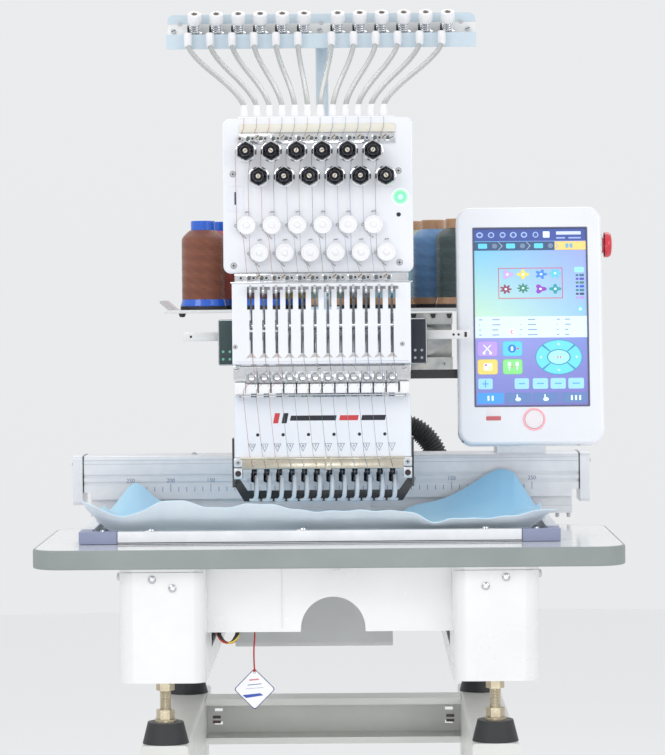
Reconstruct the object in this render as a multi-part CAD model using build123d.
from build123d import *
import math
import os

os.makedirs("parts", exist_ok=True)

# ---------------------------------------------------------------------------
# Single-head, twelve-needle embroidery machine on a wheeled stand.
# Millimetres. X to the operator's right, -Y towards the operator, +Z up.
# The floor is Z = 0, and the origin is under the middle of the whole machine.
# ---------------------------------------------------------------------------

# ---- work table ----
table_height = 867.0
table_width = 672.0
table_depth = 322.0
table_thick = 22.0
table_front = -330.0
table_corner = 35.0
band_thick = 3.0
notch_half = 105.0
bed_front_gap = 3.0

# ---- needles ----
needle_count = 12
needle_pitch = 15.0
active_needle = 6
needle_y = -115.0
bar_radius = 3.5
running_gap = 0.05
slide_gap = 0.3

# ---- stand ----
stand_drop = 224.0
side_x = 188.0
beam_width = 54.0
beam_tall = 57.0
stand_front = -310.0
stand_rear = 200.0
leg_size = 50.0
tube_wall = 2.5
leg_y = (-255.0, 150.0)
sill_front = -300.0
sill_rear = 300.0
caster_height = 100.0
caster_y = (-270.0, 270.0)
caster_trail = 25.0
wheel_radius = 37.5
wheel_width = 28.0
stem_radius = 6.0

# ---- base ----
housing_width = 98.0
housing_front = -310.0
housing_rear = 225.0
housing_drop = 153.0
housing_corner = 16.0
sheet = 2.5
foot_y = (-283.0, 134.0)
cup_radius = 26.5
cup_tall = 24.0
bolt_radius = 6.0
chassis_front = -270.0
chassis_rear = 310.0
chassis_drop = 100.0
deck_drop = 62.0
deck_thick = 4.0
arch_radius = 37.0
arch_top_drop = 60.0
arch_x = 4.0

# ---- cylinder bed ----
bed_half = 40.0
bed_front = -172.0
bed_wall = 6.0
plate_half = 17.0
plate_y = (-140.0, -92.0)
plate_thick = 4.0
hook_drop = 26.0
hook_radius = 15.0
hook_wall = 2.5
hook_gap = 3.0
hook_depth = 20.0
hook_shaft_radius = 8.0

# ---- arm and column ----
arm_half = 62.0
arm_low = 165.0
arm_high = 262.0
arm_front = -75.0
arm_wall = 8.0
column_half = 75.0
column_front = 195.0
column_rear = 300.0
shaft_up = 228.0
shaft_radius = 9.0
driver_y = -84.0
handwheel_radius = 34.0
handwheel_depth = 24.0

# ---- drive ----
motor_x = 24.0
motor_up = 199.0
motor_radius = 24.0
motor_y = (60.0, 160.0)
main_pulley_radius = 20.0
motor_pulley_radius = 14.0
hook_drive_radius = 32.0
hook_driven_radius = 16.0
belt_thick = 1.6
belt_width = 12.0
motor_belt_y = 169.0
hook_belt_y = 232.0

# ---- X beam and Y rails ----
beam_half = 322.0
beam_front = 30.0
beam_depth = 65.0
beam_top_up = 86.0
beam_low_up = 41.0
rail_low_up = 11.0
end_cap = 12.0
y_rail_width = 15.0
y_rail_tall = 12.0
y_rail_front = -5.0
y_block_length = 30.0
y_block_front = 98.0
y_belt_x = 158.0
y_pulley_radius = 8.0

# ---- border frame ----
frame_x = (-288.0, 266.0)
frame_front = -253.0
frame_rear = 16.0
frame_bar = 14.0
frame_tall = 14.0
frame_lift = 0.5
corner_long = 44.0
fabric_lift = 2.0
fabric_thick = 3.0
fabric_margin = 26.0
fabric_margin_up = 34.0

# ---- needle case ----
case_x = -7.5
case_half = 104.5
side_plate = 4.0
cover_thick = 2.5
case_back = -99.0
takeup_face = -187.0
takeup_low = 204.0
takeup_high = 299.0
lower_face = -161.0
lower_low = 94.0
lower_high = 165.0
guide_low = (91.0, 105.0)
guide_high = (172.0, 184.0)
takeup_pivot_y = -145.0
takeup_pivot_up = 250.0
takeup_shaft_radius = 3.0
window_half = 4.4
window_low = 268.0
window_high = 295.0
slot_half = 1.9
slot_low = 217.0
keeper_x = (-100.0, 84.0)
keeper_y = (-106.5, -100.5)
keeper_z = (38.0, 51.0)
keeper_arm = (58.0, 68.0)
takeup_reach = 64.0
takeup_angle = 40.0
rail_up = 236.0
rail_tall = 10.0
rail_y = (-90.0, -82.0)
rail_x = (-175.0, 169.0)
bearing_half = 18.0

# ---- tension panel ----
panel_x = -11.0
panel_half = 112.5
panel_low = 311.0
panel_high = 494.0
panel_face = -145.0
panel_depth = 28.0
panel_corner = 9.0
knob_rows = (455.0, 425.0)
roller_rows = (368.0, 335.0)
knob_radius = 11.0
upright_x = (-70.0, 50.0)
roller_radius = 10.5

# ---- thread tree and spools ----
tree_y = 76.0
tree_x = -8.0
tree_half = 194.0
tree_up = 600.0
tree_pitch = 27.5
tree_gap = 21.0
tree_top = 642.0
ferrule_shift = -8.0
fitting_shift = -4.0
post_radius = 8.0
tray_half = 220.0
tray_y = (155.0, 330.0)
tray_thick = 3.0
pad_thick = 2.0
lip_rise = 12.0
spool_radius = 27.5
spool_base_radius = 29.0
spool_tall = 115.0
spindle_radius = 4.0
spool_rows = [
    (185, (-165, -88, -5, 80, 165)),
    (240, (-140, -57, 39, 135)),
    (295, (-110, -5, 106)),
]

# ---- controller ----
control_x = 244.0
control_width = 177.0
control_tall = 290.0
control_depth = 35.0
control_up = 246.5
control_y = -60.0
control_tilt = 8.0
control_corner = 18.0
screen_width = 137.0
screen_tall = 217.0
screen_up = 10.0
tilt_pin_y = -8.0
tilt_pin_up = 215.0
tilt_pin_radius = 5.0
start_at = (3.0, -115.0)
start_radius = 11.0
stop_at = (17.0, 100.0)
stop_radius = 10.0
stop_cap_radius = 15.5

# ---- worked out from the values above ----
table_rear = table_front + table_depth
stand_top = table_height - stand_drop
housing_x = side_x + 1.0
base_half = housing_x - housing_width / 2
hook_up = -hook_drop


def up(height):
    """A height measured from the table's top surface."""
    return table_height + height


tag_string_points = [
    (-87, -258, up(-deck_drop - deck_thick)),
    (-87, -258, up(-86)),
    (-86, -259, up(-105)),
    (-88, -260, up(-124)),
    (-87, -260, up(-144)),
]


def block(x, y, z):
    """A box from three (low, high) pairs."""
    size = (x[1] - x[0], y[1] - y[0], z[1] - z[0])
    return Pos((x[0] + x[1]) / 2, (y[0] + y[1]) / 2, (z[0] + z[1]) / 2) * Box(*size)


def around(middle, half):
    """A (low, high) pair about a middle."""
    return (middle - half, middle + half)


def bore(x, y, z):
    """What is hollow in a square tube that runs along Y."""
    x = (x[0] + tube_wall, x[1] - tube_wall)
    return block(x, y, (z[0] + tube_wall, z[1] - tube_wall))


def rod_x(x, y, z, radius):
    return Pos((x[0] + x[1]) / 2, y, z) * Rot(Y=90) * Cylinder(radius, x[1] - x[0])


def rod_y(x, y, z, radius):
    return Pos(x, (y[0] + y[1]) / 2, z) * Rot(X=90) * Cylinder(radius, y[1] - y[0])


def rod_z(x, y, z, radius):
    return Pos(x, y, (z[0] + z[1]) / 2) * Cylinder(radius, z[1] - z[0])


def soften(solid, radius, axis):
    """Rounds the edges that run along one axis."""
    return fillet(solid.edges().filter_by(axis), radius)


def belt_loop(plane, low, low_radius, high, high_radius):
    """A flat belt round two pulleys, in a plane, as wide as every belt here."""

    def stadium(extra):
        rims = [
            Pos(*low) * Circle(low_radius + extra),
            Pos(*high) * Circle(high_radius + extra),
        ]
        return make_hull([edge for rim in rims for edge in rim.edges()])

    ring = stadium(slide_gap + belt_thick) - stadium(slide_gap)
    return extrude(plane * ring, belt_width)


def tube(points, radius):
    """A round tube along straight runs joined by arcs, each as large as its runs allow."""
    path_points = [Vector(*point) for point in points]
    radii = []
    for before, here, after in zip(path_points, path_points[1:], path_points[2:]):
        half_turn = math.radians((here - before).get_angle(after - here)) / 2
        shorter = min((here - before).length, (after - here).length)
        radii.append(0.45 * shorter / math.tan(half_turn))
    path = FilletPolyline(*path_points, radius=radii)
    solid = sweep(Plane(path @ 0, z_dir=path % 0) * Circle(radius), path)
    return solid, path, radii


def save(name, solids):
    export_step(Compound(children=list(solids)), f"parts/{name}.step")


needle_x = [(i - active_needle) * needle_pitch for i in range(needle_count)]
parked_x = [x for i, x in enumerate(needle_x) if i != active_needle]


# ---- stand: square tubes and channels, with the casters' stems in the lower sills ----
def make_stand():
    sill_low = caster_height
    sill_high = sill_low + leg_size
    solids = []
    for side in (-1, 1):
        x = around(side * side_x, beam_width / 2)
        top_z = (stand_top - beam_tall, stand_top)
        top = soften(block(x, (stand_front, stand_rear), top_z), 4, Axis.Y)
        solids.append(top - bore(x, (stand_front + 3, stand_rear + 1), top_z))
        sill = block(around(side * side_x, leg_size / 2), (sill_front, sill_rear), (sill_low, sill_high))
        sill = soften(sill, 4, Axis.Y)
        hollow_y = (caster_y[0] + 30, caster_y[1] - 30)
        sill -= bore(around(side * side_x, leg_size / 2), hollow_y, (sill_low, sill_high))
        stem_hole = (sill_low - 1, sill_low + 36)
        sill -= rod_z(side * side_x, caster_y[0], stem_hole, stem_radius + running_gap)
        solids.append(sill)
        for y in leg_y:
            leg_x = around(side * side_x, leg_size / 2)
            leg_z = (sill_high, stand_top - beam_tall)
            leg = soften(block(leg_x, around(y, leg_size / 2), leg_z), 4, Axis.Z)
            inside = leg_size / 2 - tube_wall
            leg -= block(around(side * side_x, inside), around(y, inside), (leg_z[0] - 1, leg_z[1] + 1))
            solids.append(leg)
    inner = side_x - beam_width / 2
    channel_y = (needle_y + 181, needle_y + 231)
    channel = block((-inner, inner), channel_y, (stand_top - beam_tall, stand_top))
    lip = 8
    recess = (channel_y[0] - 1, channel_y[1] - 3)
    channel -= block((-inner, inner), recess, (stand_top - beam_tall + lip, stand_top - lip))
    for side in (-1, 1):
        for height in (-20, -37):
            slot = block(around(side * (inner - 14), 5), (channel_y[1] - 4, channel_y[1] + 1),
                         around(stand_top + height, 2))
            channel -= slot
    solids.append(channel)
    sill_inner = side_x - leg_size / 2
    for y in leg_y:
        bar = block((-sill_inner, sill_inner), around(y, 20), (sill_low + 5, sill_high - 5))
        solids.append(soften(bar, 4, Axis.X))
    solids += [caster_fork(side * side_x, caster_y[1], True) for side in (-1, 1)]
    save("stand_frame", solids)


def caster_fork(x, y, fixed):
    """One caster fork: a crown, two cheeks that lean back, and the axle between them."""
    crown_low = wheel_radius * 2 + 9
    crown_high = caster_height if fixed else caster_height - slide_gap
    fork = rod_z(x, y, (crown_low, crown_high), 23)
    cheek_in = wheel_width / 2 + 1.5
    axle_y = y + caster_trail
    outline = Polyline(
        (y - 17, crown_low + 2),
        (y + 17, crown_low + 2),
        (axle_y + 11, wheel_radius + 4),
        (axle_y + 7, wheel_radius - 9),
        (axle_y - 7, wheel_radius - 9),
        (axle_y - 12, wheel_radius + 4),
        close=True,
    )
    cheek = extrude(Plane.YZ * make_face(outline), 3)
    fork += Pos(x + cheek_in, 0, 0) * cheek
    fork += Pos(x - cheek_in - 3, 0, 0) * cheek
    fork += rod_x(around(x, cheek_in + 5), axle_y, wheel_radius, 5)
    if not fixed:
        fork += rod_z(x, y, (crown_low, caster_height + 35), stem_radius)
    return fork


def caster_wheel(x, y):
    wheel = rod_x(around(x, wheel_width / 2), y + caster_trail, wheel_radius, wheel_radius)
    wheel = fillet(wheel.edges().filter_by(GeomType.CIRCLE), 5)
    hub = rod_x(around(x, wheel_width / 2 + 1), y + caster_trail, wheel_radius, 11)
    wheel += hub
    return wheel - rod_x(around(x, wheel_width), y + caster_trail, wheel_radius, 5 + running_gap)


def make_casters():
    for side, letter in ((-1, "l"), (1, "r")):
        x = side * side_x
        save(f"caster_fork_f{letter}", [caster_fork(x, caster_y[0], False)])
        save(f"caster_wheel_f{letter}", [caster_wheel(x, caster_y[0])])
        save(f"caster_wheel_r{letter}", [caster_wheel(x, caster_y[1])])


# ---- base: leg housings, feet, chassis with the bobbin arch, control box ----
def make_base():
    housings = []
    bolts = []
    cups = []
    top = up(-table_thick)
    floor = up(-housing_drop)
    for side in (-1, 1):
        x = around(side * housing_x, housing_width / 2)
        shell = block(x, (housing_front, housing_rear), (floor, top))
        shell = soften(shell, housing_corner, Axis.Z)
        inside = (x[0] + sheet, x[1] - sheet)
        cavity = block(inside, (housing_front + sheet, housing_rear - sheet), (floor + 4, top - 4))
        shell -= soften(cavity, housing_corner - sheet, Axis.Z)
        window_x = around(side * base_half, sheet * 2)
        shell -= block(window_x, (-180, 180), (floor + 25, top - 50))
        for y in foot_y:
            shell -= rod_z(side * side_x, y, (floor - 1, floor + 5), bolt_radius + slide_gap)
        housings.append(shell)
        for y in foot_y:
            cup_top = stand_top + cup_tall
            at = (side * side_x, y)
            bolt = rod_z(*at, (cup_top - 10, floor + 30), bolt_radius)
            bolt += rod_z(*at, (cup_top, cup_top + 3), 13)
            bolts.append(bolt)
            for low in (cup_top + 3, floor - 11):
                nut = extrude(Pos(*at, low) * RegularPolygon(10.5, 6), 11)
                bolts.append(nut - rod_z(*at, (low - 1, low + 12), bolt_radius))
            cup = Pos(*at, stand_top) * Cone(cup_radius, cup_radius - 6, cup_tall,
                                             align=(Align.CENTER, Align.CENTER, Align.MIN))
            cups.append(cup - rod_z(*at, (cup_top - 10, cup_top + 1), bolt_radius))
    save("leg_housings", housings)
    save("foot_bolts", bolts)
    save("foot_cups", cups)

    low = up(-chassis_drop)
    front = block((-base_half, base_half), (chassis_front, chassis_front + sheet), (low, top))
    arch_centre = up(-arch_top_drop - arch_radius)
    front -= rod_y(arch_x, around(chassis_front, 10), arch_centre, arch_radius)
    front -= block(around(arch_x, arch_radius), around(chassis_front, 10), (low - 1, arch_centre))
    deck_y = (chassis_front + sheet, chassis_rear - sheet)
    deck_top = up(-deck_drop)
    deck = block((-base_half, base_half), deck_y, (deck_top - deck_thick, deck_top))
    arch_bay = (chassis_front + sheet - 1, bed_front + 60)
    deck -= block(around(arch_x, arch_radius), arch_bay, (deck_top - 10, deck_top + 1))
    rear = block((-base_half, base_half), (chassis_rear - sheet, chassis_rear), (low, top))
    save("base_chassis", [front, deck, rear])

    box = block((-120, 75), (0, 200), (up(-150), deck_top - deck_thick))
    box = soften(box, 6, Axis.X)
    box -= block((-118, 73), (2, 198), (up(-148), deck_top - deck_thick + 1))
    save("control_box", [box])


# ---- table: a board with a notch for the cylinder bed, and a band round its edge ----
def make_table():
    middle_y = table_front + table_depth / 2
    outer = RectangleRounded(table_width, table_depth, table_corner)
    inner = RectangleRounded(table_width - 2 * band_thick, table_depth - 2 * band_thick,
                             table_corner - band_thick)
    base = Pos(0, middle_y, up(-table_thick))
    notch = block((-notch_half, notch_half), (bed_front - bed_front_gap, table_rear + 1),
                  (up(-table_thick) - 1, up(1)))
    board = extrude(base * inner, table_thick) - notch
    band = extrude(base * outer, table_thick) - extrude(base * inner, table_thick)
    rim = band.edges().filter_by(Plane.XY).filter_by(lambda e: e.bounding_box().size.X > 1)
    outer_rim = [e for e in rim if on_outer_rim(e, middle_y)]
    band = fillet(outer_rim, 2)
    save("table_top", [board])
    save("table_edge_band", [band - notch])


def on_outer_rim(edge, middle_y):
    """True for an edge of the band that lies on the outside of the table."""
    far_x = table_width / 2 - 0.1
    far_y = table_depth / 2 - 0.1
    box = edge.bounding_box()
    return (
        max(abs(box.min.X), abs(box.max.X)) > far_x
        or max(abs(box.min.Y - middle_y), abs(box.max.Y - middle_y)) > far_y
    )


# ---- cylinder bed, with the needle plate, the rotary hook and its shaft ----
def make_bed():
    bed = block((-bed_half, bed_half), (bed_front, column_front), (up(-deck_drop), up(0)))
    long_edges = bed.edges().filter_by(Axis.Y).sort_by(Axis.Z)[:2]
    bed = fillet(long_edges, 10)
    inside = bed_half - bed_wall
    cavity_z = (up(-deck_drop + bed_wall), up(-plate_thick))
    bed -= block((-inside, inside), (bed_front - 1, column_front - bed_wall), cavity_z)
    for y in ((-80, -72), (column_front - 26, column_front - 18)):
        bed += block((-inside, inside), y, cavity_z)
    shaft_hole = hook_shaft_radius + running_gap
    bed -= rod_y(0, (-90, column_front + 1), up(hook_up), shaft_hole)
    bed -= block((-plate_half, plate_half), plate_y, (up(-plate_thick) - 1, up(1)))
    save("bed_arm", [bed])

    plate = block((-plate_half, plate_half), plate_y, (up(-plate_thick), up(0)))
    plate -= rod_z(0, needle_y, (up(-plate_thick) - 1, up(1)), 1.25)
    for x in (-12, 12):
        plate -= rod_z(x, plate_y[0] + 6, (up(-1.5), up(1)), 2.5)
    save("needle_plate", [plate])

    cup_front = needle_y + hook_gap
    cup_back = cup_front + hook_depth
    hook = rod_y(0, (cup_front, cup_back), up(hook_up), hook_radius)
    hook -= rod_y(0, (cup_front - 1, cup_back - 4), up(hook_up), hook_radius - hook_wall)
    driven_y = (hook_belt_y, hook_belt_y + belt_width)
    hook += rod_y(0, (cup_back - 1, driven_y[1] + 4), up(hook_up), hook_shaft_radius)
    hook += rod_y(0, driven_y, up(hook_up), hook_driven_radius)
    save("rotary_hook", [hook])

    case_radius = hook_radius - hook_wall - slide_gap
    case = rod_y(0, (cup_front - 1, cup_back - 4 - slide_gap), up(hook_up), case_radius)
    case -= rod_y(0, (cup_front - 2, cup_front + 2), up(hook_up), 5)
    save("bobbin_case", [case])


# ---- arm casting: upper arm, column, case bearing and the driver's guide rod ----
def make_arm():
    arm = block((-arm_half, arm_half), (arm_front, column_front), (up(arm_low), up(arm_high)))
    arm = soften(arm, 10, Axis.Y)
    column = block((-column_half, column_half), (column_front, column_rear), (up(-deck_drop), up(arm_high)))
    column = soften(column, 12, Axis.Z)
    casting = arm + column
    inner = arm_half - arm_wall
    casting -= block((-inner, inner), (arm_front + 12, column_front - 1),
                     (up(arm_low + arm_wall), up(arm_high - arm_wall)))
    inner = column_half - arm_wall
    casting -= block((-inner, inner), (column_front + arm_wall, column_rear + 1),
                     (up(-deck_drop + arm_wall), up(arm_high - arm_wall)))
    casting -= rod_y(0, (arm_front + 5, column_front + 20), up(shaft_up), shaft_radius + running_gap)
    casting -= rod_y(0, (column_front - 1, column_front + 20), up(hook_up), hook_shaft_radius + running_gap)
    face = block((-20, 20), (arm_front, arm_front + 6), (up(96), up(arm_low + 1)))
    foot = block((-10, 10), (-92, arm_front), (up(96), up(101)))
    casting += face + foot

    bearing = block((-bearing_half, bearing_half), (rail_y[0] - 2, arm_front),
                    around(up(rail_up), rail_tall / 2 + 5))
    gap = 0.1
    bearing -= block((-bearing_half - 1, bearing_half + 1), (rail_y[0] - gap, rail_y[1] + gap),
                     around(up(rail_up), rail_tall / 2 + gap))
    rod = rod_z(0, driver_y, (up(101), up(rail_up - rail_tall / 2 - 5)), 4)
    save("arm_casting", [casting, bearing, rod])

    cover = block((-column_half + 2, column_half - 2), (column_rear, column_rear + 3),
                  (up(-20), up(arm_high - 4)))
    cover = soften(cover, 10, Axis.Y)
    cover -= rod_y(0, around(column_rear, 10), up(shaft_up), shaft_radius + running_gap)
    save("arm_rear_cover", [cover])


# ---- needle bar driver: slides on its rod and holds the active bar's stud in its jaws ----
def make_driver():
    body = block((-9, 9), (-90, -77), (up(158), up(172)))
    for z in ((158, 162), (168, 172)):
        body += block((-9, 9), (-98, -88), (up(z[0]), up(z[1])))
    body -= block((-10, 10), (-99, -89.5), (up(162), up(168)))
    body -= rod_z(0, driver_y, (up(150), up(180)), 4 + running_gap)
    save("needle_driver", [body])


# ---- main drive ----
def make_drive():
    shaft = rod_y(0, (arm_front + 6, column_rear + 20), up(shaft_up), shaft_radius)
    shaft += rod_y(0, (motor_belt_y, motor_belt_y + belt_width), up(shaft_up), main_pulley_radius)
    shaft += rod_y(0, (hook_belt_y, hook_belt_y + belt_width), up(shaft_up), hook_drive_radius - 8)
    shaft += rod_y(0, (arm_front + 20, arm_front + 32), up(shaft_up) - 6, 17)
    wheel_y = (column_rear + 5, column_rear + 5 + handwheel_depth)
    wheel = rod_y(0, wheel_y, up(shaft_up), handwheel_radius)
    wheel = fillet(wheel.edges().filter_by(GeomType.CIRCLE), 6)
    wheel -= rod_y(0, (wheel_y[0] - 1, wheel_y[1] + 1), up(shaft_up), shaft_radius)
    save("main_shaft", [shaft, wheel])

    pulley_y = (motor_belt_y, motor_belt_y + belt_width)
    pulley = rod_y(motor_x, pulley_y, up(motor_up), motor_pulley_radius)
    pulley += rod_y(motor_x, (motor_y[1] - 20, pulley_y[1]), up(motor_up), 5)
    save("motor_pulley", [pulley])

    motor = rod_y(motor_x, motor_y, up(motor_up), motor_radius)
    motor -= rod_y(motor_x, (motor_y[1] - 21, motor_y[1] + 1), up(motor_up), 5 + running_gap)
    mount = block((motor_x - 6, arm_half - arm_wall), (motor_y[1] - 24, motor_y[1] - 18),
                  (up(arm_low + arm_wall), up(motor_up)))
    motors = [motor + (mount - rod_y(motor_x, (0, 200), up(motor_up), motor_radius))]
    belts = [
        belt_loop(Plane(origin=(0, motor_belt_y + belt_width, 0), x_dir=(1, 0, 0), z_dir=(0, -1, 0)),
                  (motor_x, up(motor_up)), motor_pulley_radius, (0, up(shaft_up)), main_pulley_radius),
        belt_loop(Plane(origin=(0, hook_belt_y + belt_width, 0), x_dir=(1, 0, 0), z_dir=(0, -1, 0)),
                  (0, up(hook_up)), hook_driven_radius, (0, up(shaft_up)), hook_drive_radius - 8),
    ]

    top = up(-table_thick)
    pulley_up = top + y_pulley_radius + 3
    ends = (y_rail_front + 12, housing_rear - 15)
    for side in (-1, 1):
        x = side * y_belt_x
        loop_x = x - belt_width / 2
        plane = Plane(origin=(loop_x, 0, 0), x_dir=(0, 1, 0), z_dir=(1, 0, 0))
        belts.append(belt_loop(plane, (ends[0], pulley_up), y_pulley_radius,
                               (ends[1], pulley_up), y_pulley_radius))
        for y in ends:
            wheel = rod_x(around(x, belt_width / 2), y, pulley_up, y_pulley_radius)
            stand = block(around(side * (y_belt_x - 10), 3), around(y, 8), (top, pulley_up + 6))
            motors.append(wheel + rod_x(around(x - side * 5, 8), y, pulley_up, 3) + stand)
        inner_x = side * (base_half - 0.5)
        reach = tuple(sorted((inner_x, side * y_belt_x)))
        motors[-1] += rod_x(reach, ends[1], pulley_up, 3)
        body = block(tuple(sorted((inner_x, inner_x - side * 50))), around(ends[1], 22),
                     (pulley_up - 22, pulley_up + 18))
        motors.append(soften(body, 4, Axis.X))
    save("drive_motors", motors)
    save("drive_belts", belts)


# ---- X beam on its two carriages, and the X carriage on the beam's front rail ----
def make_beam():
    beam_rear = beam_front + beam_depth
    body_x = (-beam_half + end_cap, beam_half - end_cap)
    profile = block(body_x, (beam_front, beam_rear), (up(beam_low_up), up(beam_top_up)))
    profile = fillet(profile.edges().filter_by(Axis.X).sort_by(Axis.Z)[-2:], 4)
    for z in (beam_low_up + 9, beam_low_up + 18):
        profile -= block((body_x[0] - 1, body_x[1] + 1), (beam_front - 1, beam_front + 2),
                         (up(z), up(z + 4)))
    rail = block((body_x[0] + 10, body_x[1] - 10), (beam_front, beam_rear - 20),
                 (up(rail_low_up), up(beam_low_up)))
    rail -= block((body_x[0], body_x[1]), (beam_front - 1, beam_front + 6),
                  (up(rail_low_up + 9), up(beam_low_up - 9)))
    profile -= block((body_x[0] - 1, body_x[1] + 1), (beam_front + 5, beam_rear - 3),
                     (up(beam_low_up + 3), up(beam_top_up - 3)))
    solids = [profile + rail]
    for side in (-1, 1):
        cap_x = tuple(sorted((side * (beam_half - end_cap), side * beam_half)))
        cap = block(cap_x, (beam_front - 1, beam_rear + 1), (up(rail_low_up + 14), up(beam_top_up + 1)))
        cap = fillet(cap.edges().filter_by(Axis.X), 5)
        solids.append(cap)
        block_y = (y_block_front, y_block_front + y_block_length)
        rail_top = up(-table_thick) + y_rail_tall
        ride = block(around(side * side_x, 17), block_y, (up(-table_thick + 2), rail_top + 14))
        ride -= block(around(side * side_x, y_rail_width / 2 + 0.1), (block_y[0] - 1, block_y[1] + 1),
                      (up(-table_thick) - 1, rail_top + 0.1))
        arm = block(around(side * side_x, 17), (beam_rear, block_y[1]), (rail_top + 14, up(beam_low_up + 8)))
        solids.append(ride + arm)
    motor = block((110, 152), (beam_rear, beam_rear + 38), (up(beam_low_up), up(beam_top_up - 3)))
    solids.append(soften(motor, 4, Axis.Y))
    cover = block((205, 268), (beam_front + 4, beam_rear - 12), (up(beam_top_up), up(beam_top_up + 8)))
    solids.append(soften(cover, 3, Axis.Z))
    save("x_beam", solids)

    rails = []
    for side in (-1, 1):
        rail = block(around(side * side_x, y_rail_width / 2), (y_rail_front, housing_rear - 2),
                     (up(-table_thick), up(-table_thick + y_rail_tall)))
        rails.append(rail)
    save("y_rails", rails)

    low = frame_lift + frame_tall
    ride_z = (up(rail_low_up + 2), up(beam_low_up - 2))
    ride = block((-70, 48), (beam_front - 11, beam_front - slide_gap), ride_z)
    ride += block((-66, 44), (beam_front - 2, beam_front + 5), (up(rail_low_up + 9.3), up(beam_low_up - 9.3)))
    foot = block((-70, 48), (frame_rear - frame_bar + 2, beam_front - slide_gap), (up(low), up(low + 5)))
    save("x_carriage", [ride + foot])


# ---- border frame, its corner blocks and the fabric it holds ----
def make_border_frame():
    z = (up(frame_lift), up(frame_lift + frame_tall))
    outer = block(frame_x, (frame_front, frame_rear), z)
    outer -= block((frame_x[0] + frame_bar, frame_x[1] - frame_bar),
                   (frame_front + frame_bar, frame_rear - frame_bar), (z[0] - 1, z[1] + 1))
    long_x = (frame_x[0] + corner_long, frame_x[1] - corner_long)
    long_y = (frame_front + corner_long, frame_rear - corner_long)
    bars = [
        block(long_x, (frame_front, frame_front + frame_bar), z),
        block(long_x, (frame_rear - frame_bar, frame_rear), z),
        block((frame_x[0], frame_x[0] + frame_bar), long_y, z),
        block((frame_x[1] - frame_bar, frame_x[1]), long_y, z),
    ]
    save("border_frame", [soften(bar, 1, Axis.Z) for bar in bars])

    corners = []
    for x in (frame_x, (frame_x[1], frame_x[0])):
        for y in ((frame_front, frame_rear), (frame_rear, frame_front)):
            side_x_sign = 1 if x[1] > x[0] else -1
            side_y_sign = 1 if y[1] > y[0] else -1
            along_x = tuple(sorted((x[0], x[0] + side_x_sign * corner_long)))
            along_y = tuple(sorted((y[0], y[0] + side_y_sign * corner_long)))
            across_x = tuple(sorted((x[0], x[0] + side_x_sign * frame_bar)))
            across_y = tuple(sorted((y[0], y[0] + side_y_sign * frame_bar)))
            corner = block(along_x, across_y, z) + block(across_x, along_y, z)
            corners.append(corner)
    save("frame_corners", corners)

    inner = 0.4
    cloth_x = (frame_x[0] + frame_bar + inner, frame_x[1] - frame_bar - inner)
    cloth_y = (frame_front + frame_bar + inner, frame_rear - frame_bar - inner)
    sheet_z = (up(fabric_lift), up(fabric_lift + fabric_thick))
    cloth = block(cloth_x, cloth_y, sheet_z)
    for side in (-1, 1):
        edge = cloth_x[0] if side < 0 else cloth_x[1]
        margin = tuple(sorted((edge, edge - side * fabric_margin)))
        cloth += block(margin, cloth_y, (sheet_z[0], up(fabric_margin_up)))
    cloth += block(cloth_x, (cloth_y[0], cloth_y[0] + 6), (sheet_z[0], up(fabric_margin_up)))
    rear_y = (cloth_y[1] - 5, cloth_y[1])
    cloth += block((86, cloth_x[1]), rear_y, (sheet_z[0], up(66)))
    cloth += block((cloth_x[0] + 4, -215), rear_y, (sheet_z[0], up(50)))
    save("fabric", [cloth])


# ---- needle case: frame, rail, guides, covers, levers, bars and feet ----
def make_case_frame():
    left = case_x - case_half
    right = case_x + case_half
    solids = []
    plates = []
    for edge, way in ((left, 1), (right, -1)):
        x = tuple(sorted((edge + way * cover_thick, edge + way * (cover_thick + side_plate))))
        tall_z = (up(takeup_low), up(takeup_high - cover_thick))
        tall = block(x, (takeup_face + cover_thick, case_back), tall_z)
        tall += block(x, (-172, case_back), (up(lower_high), up(takeup_low)))
        low = block(x, (lower_face + cover_thick, case_back), (up(guide_low[0]), up(lower_high)))
        plates.append(tall + low)
    inner = (left + cover_thick, right - cover_thick)
    frame = plates[0] + plates[1]
    frame += block(inner, (-125, -100), (up(guide_low[0]), up(guide_low[1])))
    frame += block(inner, (-172, -100), (up(guide_high[0]), up(guide_high[1])))
    frame += block(inner, (-172, -135), (up(guide_high[1] - 1), up(201)))
    under_cover = up(takeup_high - cover_thick)
    frame += block(inner, (-142, case_back), (under_cover - 8, under_cover))
    for x in needle_x:
        frame -= rod_z(x, needle_y, (up(80), up(200)), bar_radius + running_gap)
    for x in upright_x:
        frame += block(around(x, 10), (panel_face + 3, panel_face + 7), (up(takeup_high - 12), up(480)))
    shaft = rod_x((left + cover_thick + side_plate, right - cover_thick - side_plate),
                  takeup_pivot_y, up(takeup_pivot_up), takeup_shaft_radius)
    solids.append(frame)
    solids.append(shaft)
    rail = block(rail_x, rail_y, around(up(rail_up), rail_tall / 2))
    solids.append(rail)
    for x in ((left - 20, left + cover_thick), (right - cover_thick, right + 20)):
        end = block(x, (-110, -78), (up(202), up(256)))
        end -= block((x[0] - 1, x[1] + 1), rail_y, around(up(rail_up), rail_tall / 2))
        solids.append(soften(end, 3, Axis.Y))
    save("needle_case_frame", solids)


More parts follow.
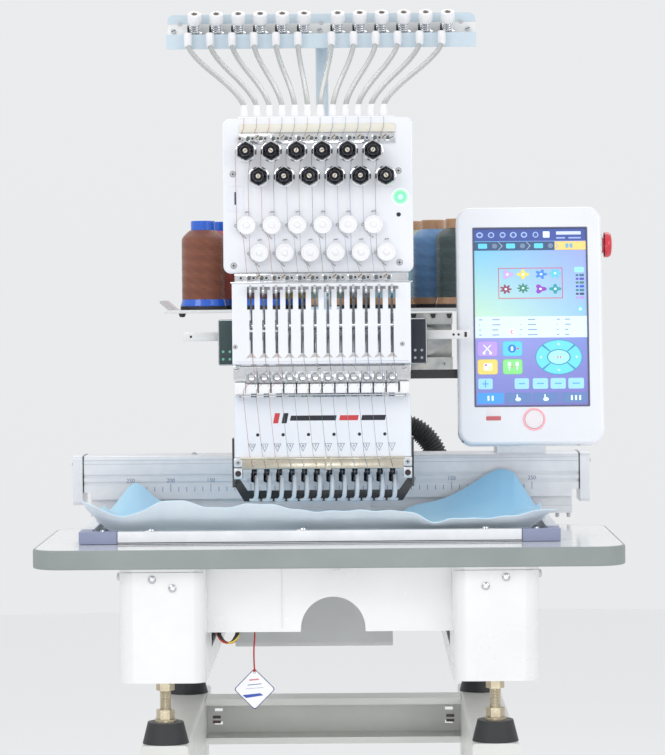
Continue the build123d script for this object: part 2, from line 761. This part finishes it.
def takeup_lever(x, bore):
    """A lever with a hub on the take-up shaft, at its rest angle, with an eye at its tip."""
    at = (takeup_pivot_y, up(takeup_pivot_up))
    hub = rod_x(around(x, 3), *at, 6)
    half = 1.25
    arm = block(around(x, half), (at[0] - takeup_reach, at[0] - 3), around(at[1], 3.5))
    tip = rod_x(around(x, half), at[0] - takeup_reach, at[1], 6)
    tip -= rod_x(around(x, half + 1), at[0] - takeup_reach, at[1], 2)
    lever = hub + (arm - rod_x(around(x, 2), at[0] - takeup_reach, at[1], 2)) + tip
    lever = lever.rotate(Axis((0, at[0], at[1]), (1, 0, 0)), -takeup_angle)
    return lever - rod_x(around(x, 5), *at, bore)


def needle_bar(x, top):
    """A needle bar with its clamp, its needle and the stud that the driver holds."""
    bar = rod_z(x, needle_y, (up(62), up(top)), bar_radius)
    bar += rod_z(x, needle_y, (up(62), up(74)), 4.4)
    bar += rod_x((x, x + 6.5), needle_y, up(68), 1.8)
    bar += rod_z(x, needle_y, (up(46), up(63)), 0.9)
    bar += Pos(x, needle_y, up(44)) * Cone(0.3, 0.9, 4)
    bar += rod_y(x, (needle_y, -90), up(165), 2.5)
    return bar


def presser_foot(x):
    """A sleeve round the needle bar, a leg in front of it, and the ring at the bottom."""
    foot = rod_z(x, needle_y, (up(78), up(89)), 6)
    foot += block(around(x, 2.5), (needle_y - 9, needle_y - 4.6), (up(74), up(88)))
    foot += block(around(x, 2.5), (needle_y - 9, needle_y - 6.5), (up(39), up(88)))
    foot += rod_z(x, needle_y, (up(39), up(42)), 7)
    foot -= rod_z(x, needle_y, (up(38), up(43)), 2.5)
    return foot - rod_z(x, needle_y, (up(70), up(95)), bar_radius + running_gap)


def make_case_moving():
    bar_top = 240
    save("takeup_levers", [takeup_lever(x, takeup_shaft_radius + running_gap) for x in parked_x])
    save("takeup_lever_active", [takeup_lever(0, takeup_shaft_radius + running_gap)])
    save("parked_needles", [needle_bar(x, bar_top) for x in parked_x] + [presser_foot(x) for x in parked_x])
    save("needle_bar_active", [needle_bar(0, bar_top)])
    save("presser_foot_active", [presser_foot(0)])


def make_case_covers():
    left = case_x - case_half
    right = case_x + case_half
    inside = (left + cover_thick, right - cover_thick)
    cover = block((left, right), (takeup_face, -150), (up(takeup_low), up(takeup_high)))
    cover = fillet(cover.edges().filter_by(Axis.X).sort_by(Axis.Y)[:2], 3)
    hollow_z = (up(takeup_low - 1), up(takeup_high - cover_thick))
    cover -= block(inside, (takeup_face + cover_thick, -149), hollow_z)
    depth = (takeup_face - 5, takeup_face + cover_thick + 1)
    for x in needle_x:
        cover -= block(around(x, window_half), depth, (up(window_low), up(window_high)))
        cover -= block(around(x, slot_half), depth, (up(slot_low), up(window_low + 2)))
    save("takeup_cover", [cover])

    lower = block((left, right), (lower_face, -130), (up(lower_low), up(lower_high)))
    lower = fillet(lower.edges().filter_by(Axis.Z).sort_by(Axis.Y)[:2], 3)
    lower -= block(inside, (lower_face + cover_thick, -129), (up(lower_low - 1), up(lower_high + 1)))
    save("lower_cover", [lower])

    low, high = up(keeper_z[0]), up(keeper_z[1])
    keeper = block(keeper_x, keeper_y, (low, high))
    plane = Plane(origin=(0, keeper_y[1], 0), x_dir=(1, 0, 0), z_dir=(0, -1, 0))
    for end, side, way in ((keeper_x[0], left, -1), (keeper_x[1], right, 1)):
        edge = tuple(sorted((side, side + way * 3)))
        brace = Polyline((end - way, low), (end - way, high), (side - way * 2, up(keeper_arm[1])),
                         (side + way * 3, up(keeper_arm[1])), (side + way * 3, up(keeper_arm[0])),
                         (end + way * 3, low), close=True)
        keeper += extrude(plane * make_face(brace), keeper_y[1] - keeper_y[0])
        keeper += block(edge, (-150, keeper_y[1]), (up(keeper_arm[0]), up(keeper_arm[1])))
        keeper += block(edge, (-150, -120), (up(keeper_arm[0]), up(116)))
    save("thread_keeper", [keeper])


def make_case_guides():
    left = case_x - case_half
    right = case_x + case_half
    span = (left, right)
    solids = []
    solids.append(block(span, (-176, -172), (up(186), up(201))))
    solids.append(block(span, (panel_face - 10, panel_face + 3), (up(takeup_high), up(panel_low))))
    solids.append(block(around(panel_x, 88), (panel_face - 4, panel_face), (up(468), up(476))))
    solids.append(block(around(panel_x, 92), (panel_face - 3, panel_face), (up(478), up(488))))
    solids.append(block(span, (lower_face, -125), (up(78), up(guide_low[0]))))
    for x in needle_x:
        solids.append(block(around(x, 5), (-184, -172), (up(170), up(181))))
        solids.append(rod_y(x, (-182, -176), up(189), 4))
    guide_bar = solids[4]
    for x in needle_x:
        guide_bar -= rod_z(x, needle_y, (up(60), up(100)), 6.5)
    solids[4] = guide_bar
    for i in range(needle_count):
        x = panel_x + fitting_shift + (i - (needle_count - 1) / 2) * needle_pitch
        solids.append(rod_z(x, panel_face + 12, (up(panel_high), up(panel_high + 14)), 4.5))
    save("thread_guides", solids)


def make_tension_panel():
    x = around(panel_x, panel_half)
    z = (up(panel_low), up(panel_high))
    shell = block(x, (panel_face, panel_face + panel_depth), z)
    shell = soften(shell, panel_corner, Axis.Y)
    shell = fillet(shell.faces().sort_by(Axis.Y)[0].edges(), 2)
    inner = block((x[0] + 3, x[1] - 3), (panel_face + 3, panel_face + panel_depth + 1), (z[0] + 3, z[1] - 3))
    shell -= soften(inner, panel_corner - 3, Axis.Y)
    for x_post in upright_x:
        shell -= block(around(x_post, 10.2), (panel_face + 2.9, panel_face + 7.2), (z[0] - 1, z[0] + 4))
    save("tension_panel", [shell])

    knobs = []
    rollers = []
    for i in range(needle_count):
        x = panel_x + (i - (needle_count - 1) / 2) * needle_pitch - 2
        row = i % 2
        knob_z = up(knob_rows[row])
        knob = rod_y(x, (panel_face - 5, panel_face), knob_z, knob_radius + 1)
        grip = extrude(Plane(origin=(x, panel_face - 5, knob_z), x_dir=(1, 0, 0), z_dir=(0, -1, 0))
                       * RegularPolygon(knob_radius, 6), 14)
        knob += grip + rod_y(x, (panel_face - 27, panel_face - 18), knob_z, 6.5)
        knobs.append(knob)
        roller_z = up(roller_rows[row])
        roller = rod_y(x, (panel_face - 10, panel_face), roller_z, roller_radius)
        groove = rod_y(x, (panel_face - 7.5, panel_face - 3), roller_z, roller_radius + 1)
        groove -= rod_y(x, (panel_face - 8, panel_face - 2), roller_z, roller_radius - 2.5)
        rollers.append(roller - groove)
    save("tension_knobs", knobs)
    save("thread_rollers", rollers)


# ---- colour-change drive, spool tray, spools and the thread tree ----
def make_top():
    box = block((arm_half, 150), (-52, -4), (up(193), up(arm_high)))
    box -= block((arm_half + 2, 151), (-53, -22), (up(208), up(248)))
    motor = rod_y(118, (-22 - 34, -22), up(228), 17)
    save("colour_change_box", [box, motor])

    tray_low = arm_high + pad_thick
    tray_high = tray_low + tray_thick
    solids = [block((-tray_half + 13, tray_half - 13), tray_y, (up(tray_low), up(tray_high)))]
    plane = Plane(origin=(0, tray_y[0], 0), x_dir=(1, 0, 0), z_dir=(0, -1, 0))
    for side in (-1, 1):
        inner_x = side * (tray_half - 14)
        outer_x = side * tray_half
        lip = Polyline((inner_x, up(tray_low)), (outer_x, up(tray_low + lip_rise)),
                       (outer_x, up(tray_high + lip_rise)), (inner_x, up(tray_high)), close=True)
        solids[0] += extrude(plane * make_face(lip), tray_y[0] - tray_y[1])
    for x in (-45, 45):
        for y in (210, 280):
            solids.append(block(around(x, 14), around(y, 12), (up(arm_high), up(tray_low))))
    spools = []
    for y, row in spool_rows:
        for x in row:
            solids.append(rod_z(x, y, (up(tray_high), up(tray_high + spool_tall - 4)), spindle_radius))
            spool = rod_z(x, y, (up(tray_high), up(tray_high + 7)), spool_base_radius)
            spool += rod_z(x, y, (up(tray_high + 7), up(tray_high + spool_tall - 14)), spool_radius)
            spool += rod_z(x, y, (up(tray_high + spool_tall - 14), up(tray_high + spool_tall)), 21)
            hole = (up(tray_high - 1), up(tray_high + spool_tall + 1))
            spools.append(spool - rod_z(x, y, hole, spindle_radius + slide_gap))
    save("spool_tray", solids)
    save("thread_spools", spools)

    post_y = tree_y + 40
    bar_z = (up(tree_up), up(tree_up + 12))
    post = rod_z(tree_x, post_y, (up(arm_high), up(tree_up + 6)), post_radius)
    post += rod_z(tree_x, post_y, (up(arm_high), up(arm_high + 8)), 22)
    bar = block(around(tree_x, tree_half), (tree_y - 14, tree_y - 10), (bar_z[0] - 6, bar_z[1]))
    bar += block(around(tree_x, tree_half), (tree_y - 14, tree_y + 14), (bar_z[1] - 3, bar_z[1]))
    back = block(around(tree_x, tree_half), (tree_y + 10, tree_y + 14), (bar_z[1] - 3, bar_z[1] + 27))
    back = soften(back, 8, Axis.Y)
    bar += back + block(around(tree_x, 20), (tree_y + 14, post_y), (bar_z[0], bar_z[0] + 12))
    save("tree_frame", [post + bar])

    tensioners = []
    tubes = []
    for i in range(needle_count):
        k = i - needle_count // 2
        rank = k if k >= 0 else -k - 1
        way = 1 if k >= 0 else -1
        x = tree_x + way * (tree_gap + tree_pitch * rank)
        z = bar_z[1]
        knob = rod_z(x, tree_y, (z, z + 6), 9)
        knob += rod_z(x, tree_y, (z + 6, z + 14), 7)
        knob += rod_z(x, tree_y, (z + 14, up(tree_top)), 8)
        x += ferrule_shift
        ferrule = rod_z(x, tree_y - 22, (bar_z[0] - 4, bar_z[1]), 5)
        ferrule += block(around(x, 4), (tree_y - 22, tree_y - 14), (bar_z[0], bar_z[0] + 6))
        tensioners += [knob, ferrule]
        low_x = panel_x + fitting_shift + (i - (needle_count - 1) / 2) * needle_pitch
        points = [
            (x, tree_y - 22, bar_z[0] - 4),
            (x, tree_y - 22, bar_z[0] - 12),
            (low_x, panel_face + 12, up(panel_high + 22)),
            (low_x, panel_face + 12, up(panel_high + 14)),
        ]
        solid, path, radii = tube(points, 3.2)
        print(f"thread tube {i}: length {path.length:.0f} mm, radii {[round(r) for r in radii]}")
        tubes.append(solid)
    save("upper_tensioners", tensioners)
    save("thread_tubes", tubes)


# ---- controller: two shells, screen, two buttons, and its hinge post ----
def in_controller(solid):
    """Places a shape drawn with the controller's face on Y = 0, looking along -Y."""
    return Pos(control_x, control_y, up(control_up)) * Rot(X=-control_tilt) * solid


def make_controller():
    half = control_width / 2
    tall = control_tall / 2
    body = block((-half, half), (0, control_depth), (-tall, tall))
    body = soften(body, control_corner, Axis.Y)
    body = fillet(body.faces().sort_by(Axis.Y)[0].edges(), 5)
    body = fillet(body.faces().sort_by(Axis.Y)[-1].edges(), 5)
    cavity = block((-half + 4, half - 4), (5, control_depth - 4), (-tall + 4, tall - 4))
    body -= cavity
    screen_x = (-screen_width / 2 + 1, screen_width / 2 + 1)
    screen_z = around(screen_up, screen_tall / 2)
    body -= block(screen_x, (-1, 6), screen_z)
    body -= rod_y(start_at[0], (-1, 6), start_at[1], start_radius + slide_gap)
    body -= rod_x((half - 5, half + 1), stop_at[0], stop_at[1], stop_radius + slide_gap)
    split = block((-half - 1, half + 1), (15, 15.4), (-tall - 1, tall + 1))
    front, back = (body - split).solids().sort_by(Axis.Y)
    shells = [in_controller(front)]
    back = in_controller(back)
    face_y = control_y + control_depth
    for x in ((control_x - 22, control_x - 13), (control_x + 13, control_x + 22)):
        ear = block(x, (face_y - 10, tilt_pin_y), around(up(tilt_pin_up), 9))
        ear += rod_x(x, tilt_pin_y, up(tilt_pin_up), 9)
        ear -= in_controller(block((-half, half), (0, control_depth), (-tall, tall)))
        ear -= rod_x(x, tilt_pin_y, up(tilt_pin_up), tilt_pin_radius + running_gap)
        back += ear
    shells.append(back)
    save("panel_shells", shells)

    glass = block(screen_x, (1.2, 6), screen_z)
    save("touch_screen", [in_controller(glass)])
    start = rod_y(start_at[0], (-1.5, 10), start_at[1], start_radius)
    start += rod_y(start_at[0], (8, 10), start_at[1], start_radius + 2)
    save("start_button", [in_controller(start)])
    stop = rod_x((half - 14, half + 5), stop_at[0], stop_at[1], stop_radius)
    cap = rod_x((half + 4, half + 10), stop_at[0], stop_at[1], stop_cap_radius)
    cap = fillet(cap.edges().filter_by(GeomType.CIRCLE).sort_by(Axis.X)[-1:], 3)
    save("estop_button", [in_controller(stop + cap)])

    post = block(around(control_x, 12), (tilt_pin_y - 6, tilt_pin_y + 6), (up(183), up(tilt_pin_up + 6)))
    post += rod_x(around(control_x, 24), tilt_pin_y, up(tilt_pin_up), tilt_pin_radius)
    bar = block((arm_half, control_x), (tilt_pin_y - 2, tilt_pin_y + 6), (up(181), up(192)))
    save("panel_bracket", [post + bar])


# ---- hose, wire loom, hang tag and screws ----
def make_trimmings():
    hose, path, radii = tube([
        (column_half, 262, up(114)),
        (104, 262, up(114)),
        (136, 262, up(84)),
        (145, 262, up(36)),
        (124, 262, up(-14)),
        (124, 262, up(-deck_drop)),
    ], 14)
    print(f"hose: length {path.length:.0f} mm, radii {[round(r) for r in radii]}")
    save("cable_hose", [hose])

    loom, path, radii = tube([
        (-130, chassis_front + 10, up(-deck_drop - deck_thick)),
        (-130, chassis_front + 10, up(-92)),
        (-125, chassis_front + 7, up(-112)),
        (-110, chassis_front + 7, up(-114)),
        (-103, chassis_front + 10, up(-94)),
        (-103, chassis_front + 10, up(-deck_drop - deck_thick)),
    ], 3)
    print(f"loom: length {path.length:.0f} mm, radii {[round(r) for r in radii]}")
    save("wire_loom", [loom])

    string, path, radii = tube(tag_string_points, 0.9)
    print(f"tag string: length {path.length:.0f} mm, radii {[round(r) for r in radii]}")
    save("tag_string", [string])
    low = tag_string_points[-1]
    tag = Pos(low[0], low[1], low[2] - 22.9) * Rot(X=90) * Rot(Z=45) * extrude(
        RectangleRounded(34, 34, 3), 0.5, both=True)
    save("hang_tag", [tag])

    screws = []
    face = housing_front
    for side in (-1, 1):
        for outward, drop in ((11, 35), (-12, 45)):
            x = side * (housing_x + outward)
            screws.append(rod_y(x, (face - 2.5, face), up(-drop), 4))
        outer = side * (housing_x + housing_width / 2)
        screws.append(rod_x(tuple(sorted((outer, outer + side * 2.5))), face + 30, up(-34), 4))
    save("body_screws", screws)


make_stand()
make_casters()
make_base()
make_table()
make_bed()
make_arm()
make_driver()
make_drive()
make_beam()
make_border_frame()
make_case_frame()
make_case_moving()
make_case_covers()
make_case_guides()
make_tension_panel()
make_top()
make_controller()
make_trimmings()
